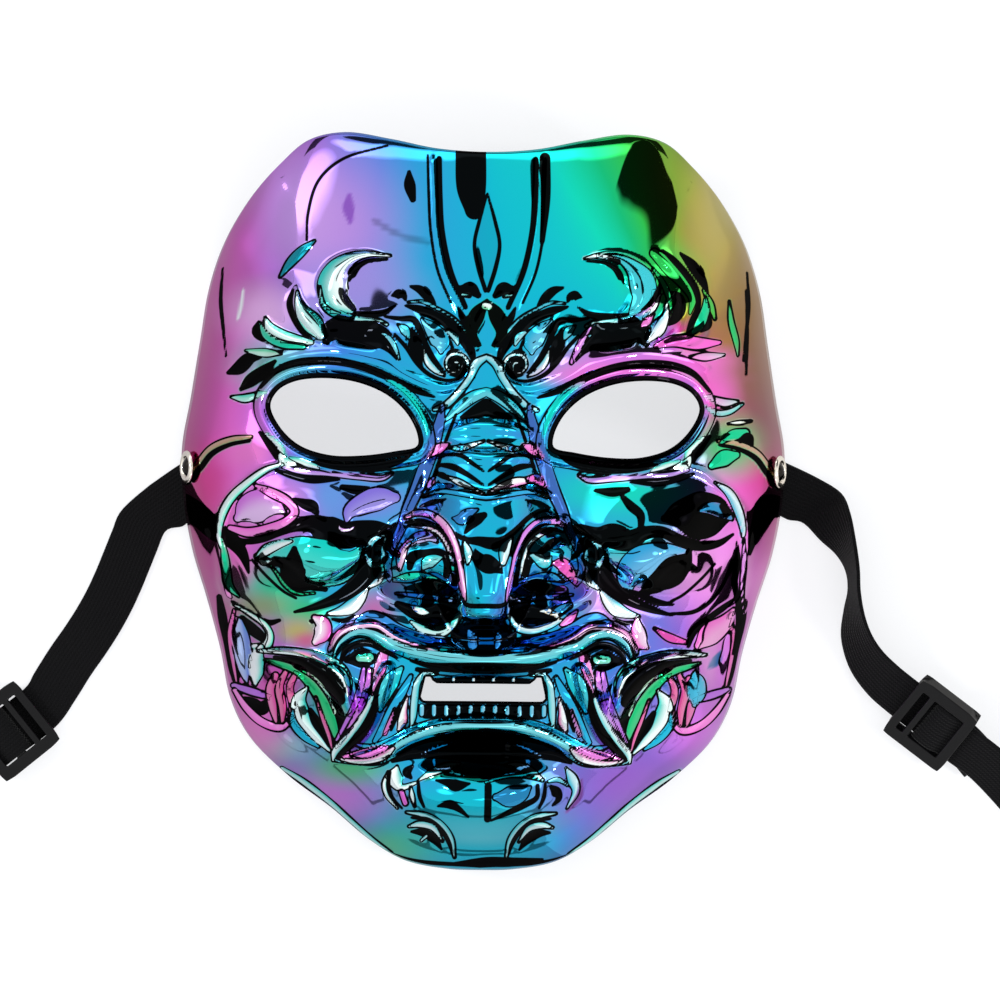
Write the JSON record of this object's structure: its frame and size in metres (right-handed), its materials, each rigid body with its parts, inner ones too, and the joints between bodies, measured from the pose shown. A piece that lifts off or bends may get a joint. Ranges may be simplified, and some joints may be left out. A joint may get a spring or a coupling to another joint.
{
  "type": "samurai mask",
  "caption": "Full-face costume mask of a scowling warrior demon with carved brows, hooked nose, tusks and fangs, eye holes, a mouth slot and an elastic head strap with sliders.",
  "frame": {"origin": "on the surface the mask lies on, under the middle of the mask's own box (shell and rivets, strap left out)", "axes": "+Z out of the face away from the surface, +Y towards the forehead, +X to the right of a viewer who looks at the face; the mask lies on its back"},
  "size_m": [0.375, 0.2965, 0.086],
  "materials": {
    "mask": "vacuum-metallised plastic with an iridescent rainbow mirror finish",
    "rivet": "nickel-plated, polished",
    "elastic": "woven elastic webbing, matt",
    "slider": "moulded, slightly glossy"
  },
  "bodies": {
    "root": {"mask_shell": "mask", "rivet_left": "rivet", "rivet_right": "rivet", "strap_left": "elastic", "strap_right": "elastic", "strap_back": "elastic", "slider_left": "slider", "slider_right": "slider"}
  },
  "joints": []
}
